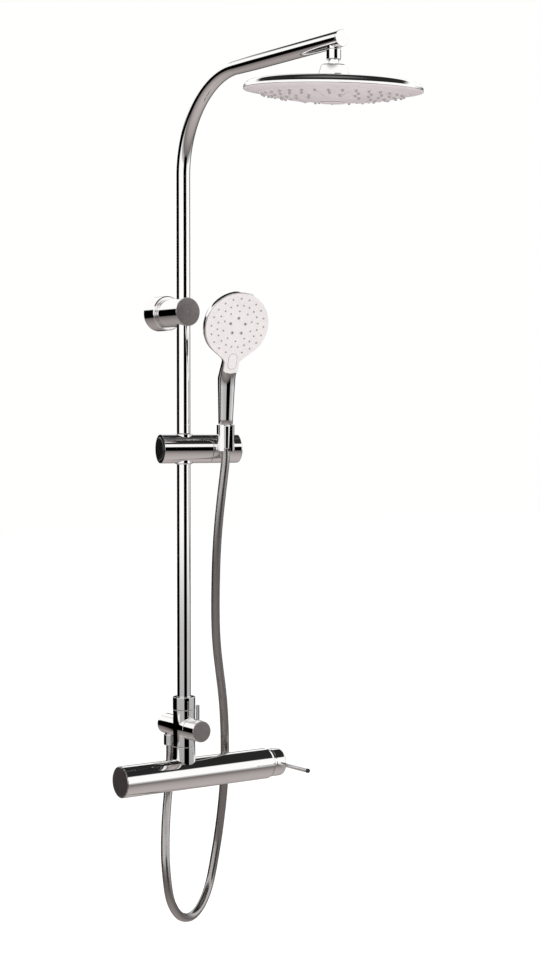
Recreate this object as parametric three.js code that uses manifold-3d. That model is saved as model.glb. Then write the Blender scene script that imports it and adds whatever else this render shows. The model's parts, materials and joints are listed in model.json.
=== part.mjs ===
// Rainfall shower column: riser with overhead rain shower, sliding hand shower, diverter and lever mixer.
// Millimetres, +Z up, +X right along the wall, +Y into the wall.
// The origin is the centre of the wall bracket's rear face, on the wall.
import * as THREE from "three";
import { mergeVertices } from "three/addons/utils/BufferGeometryUtils.js";
import Module from "manifold-3d";

const wasm = await Module();
wasm.setup();

// ---- Driving dimensions ----
const GAP = 0.3;
const DEG = Math.PI / 180;
const QUARTER = Math.PI / 2;

const RISER_Y = -76; // riser axis in front of the wall
const RISER_R = 11;
const RISER_BORE_R = 9.8;
const BEND_R = 150;
const ARM_Z = 366.4; // arm axis above the bracket axis
const ARM_R = 12;
const ARM_BORE_R = 11.3;
const ARM_REACH = 394; // rain shower axis in front of the riser axis
const ARM_END = 411;

const BRACKET_R = 22.8;
const BRACKET_FRONT = 89.4; // front face of the bracket from the wall
const FLANGE_R = 28;
const FLANGE_DEPTH = 31;

const BALL_R = 12;
const BALL_DROP = 46; // ball centre below the arm axis
const HEAD_R = 129;
const HEAD_TILT = 5.2 * DEG;
const HEAD_LEAN = -2.1 * DEG;

const SLIDER_Z = -219;
const SLIDER_YAW = -12 * DEG;
const BARREL_R = 23.2;
const BUTTON_END = -42; // barrel stations along the slider axis
const BODY_LEFT = -40;
const BODY_RIGHT = 43;
const HOLDER_RIGHT = 94;
const CONE_X = 62; // hand shower socket from the riser, along and across the slider
const CONE_Y = -26;
const CONE_TOP = 38.6;

const HANDSET_YAW = 2 * DEG; // turned a little in its socket
const FACE_TILT = 20 * DEG;
const FACE_FORWARD = 47;
const FACE_HEIGHT = 156;
const FACE_R = 53.5;
const FACE_THICKNESS = 2.5;

const MIXER_Z = -744;
const MIXER_R = 25;
const MIXER_LEFT = -119.4;
const MIXER_RIGHT = 165;
const CHAMBER_R = 18; // water chamber that also seats the cartridge
const CHAMBER_END = -104;
const INLET_X = 75;
const INLET_BACK = 40; // rear face of the inlet nuts behind the mixer axis
const INLET_DROP = -6;
const PIVOT_X = 184.1; // centre that the mixer handle tilts about
const HANDLE_SPHERE_R = 27;
const HANDLE_R = 22.8;
const HANDLE_END = 189;
const LEVER_X = 178.5;
const LEVER_R = 3.25;

const DIVERTER_Z = 75.6; // diverter axis above the mixer axis
const DIVERTER_R = 17.8;
const KNOB_R = 17;
const KNOB_FRONT = 51.8;
const OUTLET_BACK = 41; // hose outlet behind the riser axis
const HOSE_R = 7;

// ---- Materials ----
function finish(color, roughness, metalness) {
  return new THREE.MeshStandardMaterial({ color, roughness, metalness });
}
const chrome = finish(0xd6d4d2, 0.08, 1);
const whitePlastic = finish(0xe9e3e3, 0.35, 0);
const greyPlastic = finish(0xcfc8c9, 0.4, 0);
const blackPlastic = finish(0x161414, 0.3, 0);
const brass = finish(0xb08d4a, 0.35, 1);
const rubber = finish(0x1c1c1c, 0.8, 0);
const hoseMetal = finish(0x8c8684, 0.3, 1);
const steel = finish(0xb9b9b9, 0.35, 1);

// ---- Solids ----
function weld(geometry) {
  const plain = geometry.index ? geometry.toNonIndexed() : geometry.clone();
  plain.deleteAttribute("normal");
  plain.deleteAttribute("uv");
  const merged = mergeVertices(plain, 1e-3);
  const place = merged.attributes.position;
  const source = merged.index.array;
  const corners = [];
  let volume = 0;
  const a = new THREE.Vector3();
  const b = new THREE.Vector3();
  const c = new THREE.Vector3();
  for (let i = 0; i < source.length; i += 3) {
    const [p, q, r] = [source[i], source[i + 1], source[i + 2]];
    if (p === q || q === r || r === p) continue;
    corners.push(p, q, r);
    a.fromBufferAttribute(place, p);
    b.fromBufferAttribute(place, q);
    c.fromBufferAttribute(place, r);
    volume += a.dot(b.cross(c));
  }
  if (volume < 0) {
    for (let i = 0; i < corners.length; i += 3) {
      [corners[i + 1], corners[i + 2]] = [corners[i + 2], corners[i + 1]];
    }
  }
  return { vertProperties: new Float32Array(place.array), triVerts: new Uint32Array(corners) };
}

function solid(geometry) {
  return new wasm.Manifold(new wasm.Mesh({ numProp: 3, ...weld(geometry) }));
}

function join(first, ...others) {
  return others.reduce((sum, other) => sum.add(other), first);
}

function cut(first, ...others) {
  return others.reduce((rest, other) => rest.subtract(other), first);
}

function part(group, name, shape, material) {
  const mesh = shape.getMesh();
  const geometry = new THREE.BufferGeometry();
  geometry.setAttribute("position", new THREE.BufferAttribute(new Float32Array(mesh.vertProperties), 3));
  geometry.setIndex(new THREE.BufferAttribute(new Uint32Array(mesh.triVerts), 1));
  geometry.computeVertexNormals();
  const object = new THREE.Mesh(geometry, material);
  object.name = name;
  group.add(object);
  return object;
}

// Turned shape about +Z from [radius, height] points; a profile off the axis closes on itself.
function turnedGeometry(profile, sides = 24) {
  const points = profile.map(([r, z]) => new THREE.Vector2(r, z));
  const open = profile[0][0] > 0 || profile[profile.length - 1][0] > 0;
  if (open) points.push(points[0].clone());
  return new THREE.LatheGeometry(points, sides).rotateX(QUARTER);
}

function turned(profile, sides) {
  return solid(turnedGeometry(profile, sides));
}

function turnedFront(profile, sides) {
  return solid(turnedGeometry(profile, sides).rotateX(QUARTER)); // +Z of the profile faces -Y
}

function turnedRight(profile, sides) {
  return solid(turnedGeometry(profile, sides).rotateY(QUARTER)); // +Z of the profile faces +X
}

function disc(radius, low, high) {
  return [[0, low], [radius, low], [radius, high], [0, high]];
}

function ring(outer, inner, low, high) {
  return [[inner, low], [outer, low], [outer, high], [inner, high]];
}

function softDisc(radius, low, high, edge) {
  return [[0, low], [radius, low], [radius, high - edge], [radius - edge, high], [0, high]];
}

// Points of a circle of given radius about [0, centre], for radii between two values.
function arc(radius, centre, from, to, count, side) {
  const points = [];
  for (let i = 0; i <= count; i += 1) {
    const r = from + ((to - from) * i) / count;
    points.push([r, centre + side * Math.sqrt(radius * radius - r * r)]);
  }
  return points;
}

// ---- A pipe whose cross-sections stand at chosen stations ----
class StationPath extends THREE.Curve {
  constructor(stations) {
    super();
    this.stations = stations;
  }
  station(t) {
    return this.stations[Math.round(t * (this.stations.length - 1))];
  }
  getPoint(t) {
    return this.station(t).place.clone();
  }
  getPointAt(t) {
    return this.getPoint(t);
  }
  getTangentAt(t) {
    return this.station(t).along.clone();
  }
}

function bentPipe() {
  const centreZ = ARM_Z - BEND_R;
  const bendSteps = 12;
  const stations = [{ place: [0, MIXER_Z + 92], angle: 0 }];
  for (let i = 0; i <= bendSteps; i += 1) {
    const angle = (QUARTER * i) / bendSteps;
    stations.push({
      place: [BEND_R * Math.cos(angle) - BEND_R, centreZ + BEND_R * Math.sin(angle)],
      angle,
    });
  }
  stations.push({ place: [-BEND_R - 22, ARM_Z], angle: QUARTER });
  const path = new StationPath(
    stations.map(({ place, angle }) => ({
      place: new THREE.Vector3(0, place[0], place[1]),
      along: new THREE.Vector3(0, -Math.sin(angle), Math.cos(angle)),
    })),
  );
  const section = new THREE.Shape().absarc(0, 0, RISER_R, 0, 2 * Math.PI, false);
  section.holes.push(new THREE.Path().absarc(0, 0, RISER_BORE_R, 0, 2 * Math.PI, true));
  const options = { steps: stations.length - 1, curveSegments: 10, extrudePath: path, bevelEnabled: false };
  return solid(new THREE.ExtrudeGeometry(section, options));
}

const column = new THREE.Group();
column.name = "shower_column";

// ---- Wall bracket ----
const bracket = new THREE.Group();
column.add(bracket);
const SCREW_X = 11;
const GRUB_Y = 20;

function bracketFlange() {
  const profile = [
    [0, 0], [FLANGE_R, 0], [FLANGE_R, FLANGE_DEPTH - 1.5], [FLANGE_R - 1.5, FLANGE_DEPTH],
    [19.5, FLANGE_DEPTH], [19.5, 4], [0, 4],
  ];
  const screwHoles = [-SCREW_X, SCREW_X].map((x) => turnedFront(disc(2.6, -1, 5), 12).translate([x, 0, 0]));
  const grubHole = turned(disc(2.3, -30, -15), 10).translate([0, -GRUB_Y, 0]);
  return cut(turnedFront(profile, 32), ...screwHoles, grubHole);
}

function wallScrew() {
  return turnedFront([[0, 0.2], [2.3, 0.2], [2.3, 4.3], [4.5, 4.3], [4.5, 6.4], [3.4, 7.4], [0, 7.4]], 12);
}

function bracketBody() {
  const profile = [
    [12, 10], [19, 10], [19, FLANGE_DEPTH + GAP], [BRACKET_R, FLANGE_DEPTH + GAP],
    [BRACKET_R, BRACKET_FRONT - 0.8], [BRACKET_R - 0.8, BRACKET_FRONT], [0, BRACKET_FRONT], [0, 50], [12, 50],
    [12, 10],
  ];
  const riserBore = turned(disc(RISER_R + 0.35, -30, 30), 24).translate([0, RISER_Y, 0]);
  return cut(turnedFront(profile, 32), riserBore);
}

part(bracket, "bracket_flange", bracketFlange(), chrome);
part(bracket, "bracket_body", bracketBody(), chrome);
part(bracket, "bracket_grub_screw", turned(disc(1.9, -26.5, -19.4), 10), steel).position.y = -GRUB_Y;
["left", "right"].forEach((side, i) => {
  part(bracket, `bracket_wall_screw_${side}`, wallScrew(), steel).position.x = i ? SCREW_X : -SCREW_X;
});

// ---- Riser and arm, about the riser axis ----
const riser = new THREE.Group();
riser.position.y = RISER_Y;
column.add(riser);

function armTube() {
  const bore = turned(disc(6.5, ARM_Z - 20, ARM_Z), 14).translate([0, -ARM_REACH, 0]);
  const tube = turnedFront(ring(ARM_R, ARM_BORE_R, BEND_R + 1, ARM_END), 24).translate([0, 0, ARM_Z]);
  return cut(tube, bore);
}

function armEndCap() {
  const profile = [
    [0, ARM_END - 6], [ARM_BORE_R - 0.4, ARM_END - 6], [ARM_BORE_R - 0.4, ARM_END + GAP], [ARM_R, ARM_END + GAP],
    [ARM_R, ARM_END + 2.2], [ARM_R - 0.8, ARM_END + 3], [0, ARM_END + 3],
  ];
  return turnedFront(profile, 24);
}

function armNipple() {
  const profile = [[5, -19], [7.5, -19], [7.5, -13], [9.8, -13], [9.8, -2], [5, -2]];
  const saddle = turnedFront(disc(ARM_R + GAP, -20, 20), 24);
  return cut(turned(profile, 18), saddle);
}

function ballStem() {
  const neck = BALL_DROP - 9.37;
  const ballTop = [[9, -21], [9, -25.6], [7.5, -25.6], [7.5, -neck]];
  const ball = [];
  const steps = 7;
  for (let i = 0; i <= steps; i += 1) {
    const angle = (45 + (115.5 * i) / steps) * DEG;
    ball.push([BALL_R * Math.sin(angle), -BALL_DROP + BALL_R * Math.cos(angle)]);
  }
  return turned([[4, -21], ...ballTop, ...ball], 24);
}

const nutProfile = [
  [7.9, -13.3], [9.8, -13.3], [10.4, -13.9], [10.4, -26.8], [9.8, -27.4], [8, -27.4], [8, -25.9],
  [9.3, -25.9], [9.3, -17], [7.9, -17],
];
part(riser, "riser_pipe", bentPipe(), chrome);
part(riser, "arm_tube", armTube(), chrome);
part(riser, "arm_end_cap", armEndCap(), chrome).position.z = ARM_Z;
const drop = new THREE.Group();
drop.position.set(0, -ARM_REACH, ARM_Z);
riser.add(drop);
part(drop, "arm_nipple", armNipple(), chrome);
part(drop, "swivel_nut", turned(nutProfile, 24), chrome);
part(drop, "swivel_washer", turned(ring(9, 5, -20.7, -19.3), 14), rubber);
part(drop, "ball_stem", ballStem(), chrome);

// ---- Rain shower, about its ball centre ----
const head = new THREE.Group();
head.position.set(0, RISER_Y - ARM_REACH, ARM_Z - BALL_DROP);
head.rotation.set(HEAD_TILT, HEAD_LEAN, 0);
column.add(head);
const RIM_Z = -24;

function headBoss() {
  return turned([
    [14.7, 0], [14.7, -7.9], [22, -7.9], [22, -2], [21.5, 0], [18.2, 10.4], [17, 11.5], [13.6, 11.5],
    [11.2, 5.6], [12.4, 2.4], [12.6, 0],
  ], 28);
}

function ballSeat() {
  return turned([[11.9, -3.9], [13.6, -3.9], [13.1, -5.6], [12.05, -7.5], [10.0, -7.5], [11.15, -5.6]], 24);
}

function headShell() {
  const outside = [
    [12.6, -8.2], [24, -8.2], [90, -9.7], [110, -11], [120, -13], [125.4, -16], [128, -19.6], [128.6, RIM_Z],
  ];
  const inside = [
    [126, RIM_Z], [125, -20.4], [119, -15.6], [100, -12.4], [12.6, -10.4],
  ];
  return turned([...outside, ...inside], 36);
}

const DISH_DEPTH = 16.2;
function dish(radius, top) {
  return top - DISH_DEPTH * (1 - (radius / HEAD_R) ** 2);
}

function headFace() {
  const radii = [0, 40, 74, 100, 118];
  const below = radii.map((r) => [r, dish(r, RIM_Z - 0.8)]);
  const above = radii.slice(0, 4).map((r) => [r, dish(r, RIM_Z + 1.4)]);
  const rim = [[126.5, -26.4], [128.6, -25.4], [HEAD_R, RIM_Z - GAP], [122, RIM_Z - GAP]];
  return turned([...below, ...rim, ...above.reverse()], 36);
}

function nozzleMat() {
  const radii = [0, 40, 74, 98];
  const below = radii.map((r) => [r, dish(r, RIM_Z + 1.8)]);
  const above = radii.map((r) => [r, dish(r, RIM_Z + 3.4)]);
  return turned([...below, ...above.reverse()], 32);
}

part(head, "head_boss", headBoss(), chrome);
part(head, "ball_seat", ballSeat(), whitePlastic);
part(head, "head_shell", headShell(), chrome);
part(head, "head_face", headFace(), greyPlastic);
part(head, "head_nozzle_mat", nozzleMat(), greyPlastic);
part(head, "head_centre_cap", turned([[0, -41.4], [17.5, -41.4], [17.5, -42.3], [16.4, -43.2], [0, -43.2]], 24),
  greyPlastic);

// ---- Slider on the riser; its own X runs along the barrel ----
const slider = new THREE.Group();
slider.position.set(0, RISER_Y, SLIDER_Z);
slider.rotation.z = SLIDER_YAW;
column.add(slider);
const CROSS_BORE_R = 14.4;
const SPINDLE_BORE_R = 9.5;

function sliderBody() {
  const profile = [
    [0, -17], [19, -17], [19, BODY_LEFT], [BARREL_R - 0.7, BODY_LEFT], [BARREL_R, BODY_LEFT + 0.7],
    [BARREL_R, BODY_RIGHT], [SPINDLE_BORE_R, BODY_RIGHT], [SPINDLE_BORE_R, 24], [0, 24],
  ];
  return cut(turnedRight(profile, 28), turned(disc(CROSS_BORE_R, -30, 30), 24));
}

function sliderBush(side) {
  const low = 8 * side;
  const high = 24.8 * side;
  return turned([
    [RISER_R + 0.35, low], [CROSS_BORE_R - GAP, low], [CROSS_BORE_R - GAP, high], [RISER_R + 1.3, high],
    [RISER_R + 0.35, high - 1.2 * side],
  ], 24);
}

function brakeShoe() {
  const half = solid(new THREE.BoxGeometry(30, 40, 20).translate(11, 0, 0));
  return cut(turned(ring(CROSS_BORE_R - GAP, RISER_R + 0.35, -7.5, 7.5), 24), half);
}

function lockButton() {
  const profile = [
    [0, BUTTON_END], [17.8, BUTTON_END], [18.6, BUTTON_END + 0.8], [18.6, -35.5], [5, -35.5], [5, -22], [0, -22],
  ];
  return turnedRight(profile, 28);
}

part(slider, "slider_body", sliderBody(), chrome);
part(slider, "slider_bush_upper", sliderBush(1), chrome);
part(slider, "slider_bush_lower", sliderBush(-1), chrome);
part(slider, "slider_brake_shoe", brakeShoe(), blackPlastic);
part(slider, "slider_lock_button", lockButton(), blackPlastic);
part(slider, "lock_return_spring", turnedRight(ring(7.4, 5.8, -31.5, -17.4), 14), steel);
part(slider, "holder_spindle", turnedRight(softDisc(SPINDLE_BORE_R - 0.4, 24.4, 53.4, 1), 18), brass);

// ---- Holder that turns on the slider's spindle ----
function handsetHolder() {
  const left = BODY_RIGHT + 0.6;
  const barrel = turnedRight([
    [0, HOLDER_RIGHT - 3], [13, HOLDER_RIGHT - 3], [13, 56], [SPINDLE_BORE_R, 54], [SPINDLE_BORE_R, left],
    [BARREL_R, left], [BARREL_R, HOLDER_RIGHT - 2.5], [BARREL_R - 0.8, HOLDER_RIGHT - 0.9],
    [BARREL_R - 2.5, HOLDER_RIGHT], [0, HOLDER_RIGHT],
  ], 28);
  const socket = turned(disc(14.3, -4, CONE_TOP), 24).translate([CONE_X, CONE_Y, 0]);
  const cone = turned([[0, -30], [8.4, -30], [8.4, -5], [10.8, 40], [0, 40]], 24).translate([CONE_X, CONE_Y, 0]);
  const slot = solid(new THREE.BoxGeometry(15.5, 24, 46).translate(CONE_X, CONE_Y - 12, CONE_TOP / 2));
  return cut(join(barrel, socket), cone, slot);
}
part(slider, "handset_holder", handsetHolder(), chrome);

// ---- Hand shower, about the top of its hose nut ----
const handset = new THREE.Group();
handset.position.set(CONE_X, CONE_Y, CONE_TOP - 0.6);
handset.rotation.z = HANDSET_YAW;
slider.add(handset);

// Round face running into a narrow neck, v up along the face.
function spoon(radius, neck, tail) {
  const leave = -57 * DEG;
  const shape = new THREE.Shape();
  shape.absarc(0, 0, radius, leave, Math.PI - leave, false);
  shape.bezierCurveTo(-radius * 0.36, -54, -neck, -56, -neck, -63);
  shape.lineTo(-neck, tail + 3);
  shape.lineTo(0, tail);
  shape.lineTo(neck, tail + 3);
  shape.lineTo(neck, -63);
  shape.bezierCurveTo(neck, -56, radius * 0.36, -54, radius * Math.cos(leave), radius * Math.sin(leave));
  return shape;
}

function stadium(halfWidth, halfLength, centre) {
  const shape = new THREE.Shape();
  const straight = halfLength - halfWidth;
  shape.absarc(0, centre + straight, halfWidth, 0, Math.PI, false);
  shape.absarc(0, centre - straight, halfWidth, Math.PI, 2 * Math.PI, false);
  shape.closePath();
  return shape;
}

// Extrudes along the face's outward normal, from depth to top, and stands it at the face.
function onFace(geometry) {
  return solid(geometry.rotateX(QUARTER + FACE_TILT).translate(0, -FACE_FORWARD, FACE_HEIGHT));
}

function faceSlab(shape, low, high, curveSegments = 6) {
  const options = { depth: high - low, bevelEnabled: false, curveSegments };
  return onFace(new THREE.ExtrudeGeometry(shape, options).translate(0, 0, low));
}

const BUTTON_V = -58.5;
const MAT_R = 41;
function handsetBody() {
  const grip = solid(turnedGeometry([
    [0, 1.2], [10.8, 1.2], [11.5, 2.2], [11.9, 16], [13, 45], [14.6, 78], [14.4, 96], [11, 114], [0, 120],
  ], 24).rotateX(3 * DEG));
  const plate = faceSlab(spoon(FACE_R + 1.2, 13.2, -80), -10, -FACE_THICKNESS - GAP, 9);
  const back = onFace(turnedGeometry([
    [0, -24], [20, -23], [38, -19.5], [49, -14.5], [53.6, -9.9], [0, -9.9],
  ], 32));
  const pocket = faceSlab(stadium(7.8, 13.4, BUTTON_V), -13, 5);
  const front = faceSlab(new THREE.Shape().absarc(0, -40, 60, 0, 2 * Math.PI), -FACE_THICKNESS - GAP, 30);
  const dome = onFace(turnedGeometry([
    [0, -21.5], [20, -20.6], [37, -17.2], [46, -12.8], [50.5, -8.5], [50.5, 5], [0, 5],
  ], 28));
  const buttonWall = onFace(new THREE.BoxGeometry(120, 40, 60).translate(0, -64, -10));
  const chamber = cut(dome, buttonWall);
  const waterway = solid(turnedGeometry([
    [0, -1], [6.5, -1], [6.5, 12], [9.2, 15], [10.2, 45], [11, 74], [9, 84], [0, 86],
  ], 20).rotateX(3 * DEG));
  return cut(join(grip, plate, back), front, pocket, chamber, waterway);
}

function hoseConeNut() {
  return turned([
    [7.5, -38], [8.2, -38], [8.6, -37], [10.3, -2], [9.8, -0.4], [3.2, -0.4], [3.2, -22], [7.5, -22],
  ], 20);
}

part(handset, "handset_body", handsetBody(), chrome);
part(handset, "handset_face",
  cut(faceSlab(spoon(FACE_R, 12.4, -79), -FACE_THICKNESS, 0, 9), faceSlab(stadium(7.6, 13.2, BUTTON_V), -9, 5)),
  whitePlastic);
part(handset, "handset_nozzle_mat", onFace(turnedGeometry(disc(MAT_R, -5.7, -FACE_THICKNESS - GAP), 28)), greyPlastic);
part(handset, "handset_button", faceSlab(stadium(7.1, 12.8, BUTTON_V), -6.5, 0.8), whitePlastic);
part(handset, "button_return_spring",
  onFace(turnedGeometry(ring(5.4, 4, -12.7, -8.7), 14).translate(0, BUTTON_V, 0)), steel);
part(handset, "hose_cone_nut", hoseConeNut(), chrome);

// ---- Mixer and diverter, about the mixer axis below the riser ----
const valve = new THREE.Group();
valve.position.set(0, RISER_Y, MIXER_Z);
column.add(valve);

function toBack(profile, sides) {
  return solid(turnedGeometry(profile, sides).rotateX(-QUARTER)); // +Z of the profile faces +Y
}

function mixerBody() {
  const profile = [
    [0, MIXER_LEFT + 3], [23.9, MIXER_LEFT + 3], [23.9, MIXER_LEFT], [24.5, MIXER_LEFT],
    [MIXER_R, MIXER_LEFT + 0.5], [MIXER_R, 160.6], [23.2, MIXER_RIGHT], [21, MIXER_RIGHT], [21, 142],
    [CHAMBER_R, 142], [CHAMBER_R, CHAMBER_END], [0, CHAMBER_END],
  ];
  let body = turnedRight(profile, 32);
  [-INLET_X, INLET_X].forEach((x) => {
    body = join(body, toBack(ring(11, 8, 19, 28), 18).translate([x, 0, INLET_DROP]));
    body = cut(body, toBack(disc(8, 10, 40), 14).translate([x, 0, INLET_DROP]));
  });
  return cut(body, turned(disc(9, 5, 30), 18));
}

function inletNut() {
  const hex = new THREE.Shape();
  const corner = 15;
  for (let i = 0; i < 6; i += 1) {
    const angle = (i * Math.PI) / 3;
    hex[i ? "lineTo" : "moveTo"](corner * Math.cos(angle), corner * Math.sin(angle));
  }
  hex.closePath();
  hex.holes.push(new THREE.Path().absarc(0, 0, 11.4, 0, 2 * Math.PI, true));
  const depth = 14;
  const block = new THREE.ExtrudeGeometry(hex, { depth, bevelEnabled: false, curveSegments: 9 });
  return solid(block.translate(0, 0, INLET_BACK - depth).rotateX(-QUARTER));
}

function cartridgeCover() {
  const seat = arc(HANDLE_SPHERE_R + 0.4, PIVOT_X, 22.7, 15, 3, -1);
  return turnedRight([
    [15, 150.4], [20.7, 150.4], [20.7, MIXER_RIGHT + GAP], [23, MIXER_RIGHT + GAP], [23, 168.8], ...seat,
  ], 28);
}

function handleCap() {
  const back = arc(HANDLE_SPHERE_R, PIVOT_X, 3.5, HANDLE_R, 5, -1);
  const cap = turnedRight([
    [0, 153], [3.5, 153], ...back, [HANDLE_R, HANDLE_END - 3.6], [21.8, HANDLE_END - 1.2],
    [19.6, HANDLE_END], [0, HANDLE_END],
  ], 28);
  return cut(cap, turnedFront(disc(LEVER_R + GAP, 18.4, 30), 12).translate([LEVER_X, 0, 0]));
}

part(valve, "mixer_body", mixerBody(), chrome);
part(valve, "mixer_end_cap", turnedRight([
  [0, MIXER_LEFT - 0.5], [22.9, MIXER_LEFT - 0.5], [23.6, MIXER_LEFT + 0.3], [23.6, MIXER_LEFT + 2.7],
  [0, MIXER_LEFT + 2.7],
], 28), chrome);
["left", "right"].forEach((side, i) => {
  const x = i ? INLET_X : -INLET_X;
  part(valve, `inlet_nut_${side}`, inletNut(), chrome).position.set(x, 0, INLET_DROP);
  part(valve, `inlet_filter_${side}`, toBack(ring(10.8, 4, 28.4, 30.4), 14), rubber).position.set(x, 0, INLET_DROP);
});
part(valve, "mixer_cartridge", turnedRight(disc(17.6, 94.4, 141.6), 24), greyPlastic);
part(valve, "cartridge_retaining_nut", turnedRight(ring(20.6, 13, 142.4, 149.6), 24), brass);
part(valve, "cartridge_stem", turnedRight(disc(12, 142.4, 150.4), 18), brass);
part(valve, "cartridge_cover", cartridgeCover(), chrome);
part(valve, "mixer_handle", handleCap(), chrome);
part(valve, "lever_rod", turnedFront(disc(LEVER_R, 18.8, 92.7), 14), chrome).position.x = LEVER_X;
part(valve, "lever_tip", turnedFront([
  [0, 93], [3.6, 93], [3.6, 95.8], [2.6, 97], [0, 97],
], 14), blackPlastic).position.x = LEVER_X;

// Diverter
function diverterBody() {
  const body = join(
    turned(disc(DIVERTER_R, 45.9, 104.6), 28),
    turnedFront(disc(KNOB_R - 0.1, 0, 21.5), 24).translate([0, 0, DIVERTER_Z]),
    toBack(softDisc(16.3, 0, 55, 0.8), 24).translate([0, 0, DIVERTER_Z]),
    turned(disc(8.8, 50, 64), 18).translate([0, OUTLET_BACK, 0]),
  );
  return cut(
    body,
    turned(disc(RISER_R + 0.5, 90, 110), 24),
    turned(disc(9, 40, 66), 18),
    turnedFront(disc(10.5, -8, 30), 20).translate([0, 0, DIVERTER_Z]),
    toBack(disc(7, 0, 48), 14).translate([0, 0, DIVERTER_Z]),
    turned(disc(6, 40, 74), 14).translate([0, OUTLET_BACK, 0]),
    turned(disc(7, 80, 95), 14),
  );
}

function lowerNut() {
  const saddle = turnedRight(disc(MIXER_R + GAP, -30, 30), 32);
  return cut(turned(ring(DIVERTER_R + 0.3, 9, 15, 45.5), 28), saddle);
}

function riserNut() {
  const outer = DIVERTER_R + 0.3;
  return turned([
    [RISER_R + 0.35, 105], [outer, 105], [outer, 124.8], [outer - 1, 125.8], [RISER_R + 1.4, 125.8],
    [RISER_R + 0.35, 124.8],
  ], 28);
}

function diverterKnob() {
  const knob = turnedFront([
    [0, 22], [KNOB_R, 22], [KNOB_R, KNOB_FRONT - 0.8], [KNOB_R - 0.8, KNOB_FRONT], [0, KNOB_FRONT],
  ], 28);
  return cut(knob, turned(disc(3.3, 9.4, 30), 12).translate([0, -40, 0]));
}

function outletNut() {
  return turned([
    [7.5, 42], [10.2, 42], [10.8, 42.6], [10.8, 58.2], [10.3, 58.8], [9.1, 58.8], [9.1, 48.4], [7.5, 48.4],
  ], 24);
}

part(valve, "diverter_lower_nut", lowerNut(), chrome);
part(valve, "diverter_body", diverterBody(), chrome);
part(valve, "riser_nut", riserNut(), chrome);
part(valve, "riser_seal", turned(ring(11.1, 8, 90.3, 91.6), 18), rubber);
part(valve, "diverter_spool", turnedFront(disc(10.1, -7.4, 21.6), 20), brass).position.z = DIVERTER_Z;
part(valve, "diverter_knob", diverterKnob(), chrome).position.z = DIVERTER_Z;
part(valve, "diverter_lever_pin", turned(softDisc(3, 9.8, 41.2, 0.5), 12), chrome).position.set(0, -40, DIVERTER_Z);
part(valve, "hose_outlet_nut", outletNut(), chrome).position.y = OUTLET_BACK;
part(valve, "hose_outlet_washer", turned(ring(8.7, 6.2, 48.7, 49.7), 14), rubber).position.y = OUTLET_BACK;

// Hose from inside the hand shower's nut, down behind the mixer and up into the outlet nut.
const HOSE_ROUTE = [
  [55.24, -38.32, 536], [55.24, -38.32, 524], [55.1, -38.3, 508], [50.5, -34.4, 454.2],
  [48.7, -31, 423.2], [48.1, -26.6, 389.8], [49, -21.6, 357.1], [51.4, -15.9, 324], [54.9, -9.5, 291],
  [59.4, -2.6, 258.4], [64.9, 4.4, 225.7], [71.9, 10.8, 192.9], [79.8, 16.3, 160.8], [87.7, 21.2, 128.7],
  [94.4, 26.2, 96.9], [99.7, 31.2, 65.3], [103.8, 36.1, 33.6], [106.8, 40.9, 2.7], [108.8, 45.8, -27.5],
  [109.7, 51.1, -58.1], [109.5, 56.3, -88.2], [108.3, 61.1, -117.6], [106, 64.1, -142], [93.3, 64, -198],
  [81.2, 58.5, -219.4], [61, 48.3, -237.8], [35.1, 34.9, -245.3], [9, 21.7, -238.8],
  [-7.8, 13.5, -225.6], [-23.3, 6.8, -200.3], [-30.5, 7.8, -145.4], [-27.2, 14.4, -115.4],
  [-20.7, 23.2, -86.1], [-12.9, 31.7, -56.3], [-5.3, 38.2, -23.8], [-0.4, 41, 16], [0, 41, 34],
  [0, 41, 48],
];
const HOSE_STEPS = 72;
const HOSE_SIDES = 10;

function hose() {
  const route = HOSE_ROUTE.map(([x, y, z]) => new THREE.Vector3(x, y, z));
  const path = new THREE.CatmullRomCurve3(route, false, "centripetal");
  const section = new THREE.Shape();
  for (let i = 0; i < HOSE_SIDES; i += 1) {
    const angle = (2 * Math.PI * i) / HOSE_SIDES;
    section[i ? "lineTo" : "moveTo"](HOSE_R * Math.cos(angle), HOSE_R * Math.sin(angle));
  }
  section.closePath();
  return solid(new THREE.ExtrudeGeometry(section, { steps: HOSE_STEPS, extrudePath: path, bevelEnabled: false }));
}
part(valve, "shower_hose", hose(), hoseMetal);

export default column;
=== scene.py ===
"""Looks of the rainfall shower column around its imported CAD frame. Shapes are written in millimetres."""

import json
import math

import bmesh
import bpy
from mathutils import Matrix, Vector


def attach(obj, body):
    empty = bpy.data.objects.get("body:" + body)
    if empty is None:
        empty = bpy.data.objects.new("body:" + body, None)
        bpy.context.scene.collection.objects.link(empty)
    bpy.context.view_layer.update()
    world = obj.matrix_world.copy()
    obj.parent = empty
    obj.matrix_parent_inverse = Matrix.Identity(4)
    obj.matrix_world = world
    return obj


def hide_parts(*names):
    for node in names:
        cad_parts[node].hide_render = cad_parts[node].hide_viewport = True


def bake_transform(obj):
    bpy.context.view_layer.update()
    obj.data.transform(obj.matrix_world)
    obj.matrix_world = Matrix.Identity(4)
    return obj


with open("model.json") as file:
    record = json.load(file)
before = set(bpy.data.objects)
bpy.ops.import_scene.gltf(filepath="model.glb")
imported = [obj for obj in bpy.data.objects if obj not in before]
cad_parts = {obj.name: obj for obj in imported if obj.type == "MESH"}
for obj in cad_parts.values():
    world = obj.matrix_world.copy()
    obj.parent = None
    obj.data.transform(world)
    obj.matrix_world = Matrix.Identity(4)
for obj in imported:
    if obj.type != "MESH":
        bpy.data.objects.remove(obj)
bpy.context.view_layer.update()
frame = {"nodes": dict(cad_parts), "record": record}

MM = 0.001
UP = Vector((0, 0, 1))
FRONT = Vector((0, -1, 0))
BACK = Vector((0, 1, 0))
RIGHT = Vector((1, 0, 0))

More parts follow.
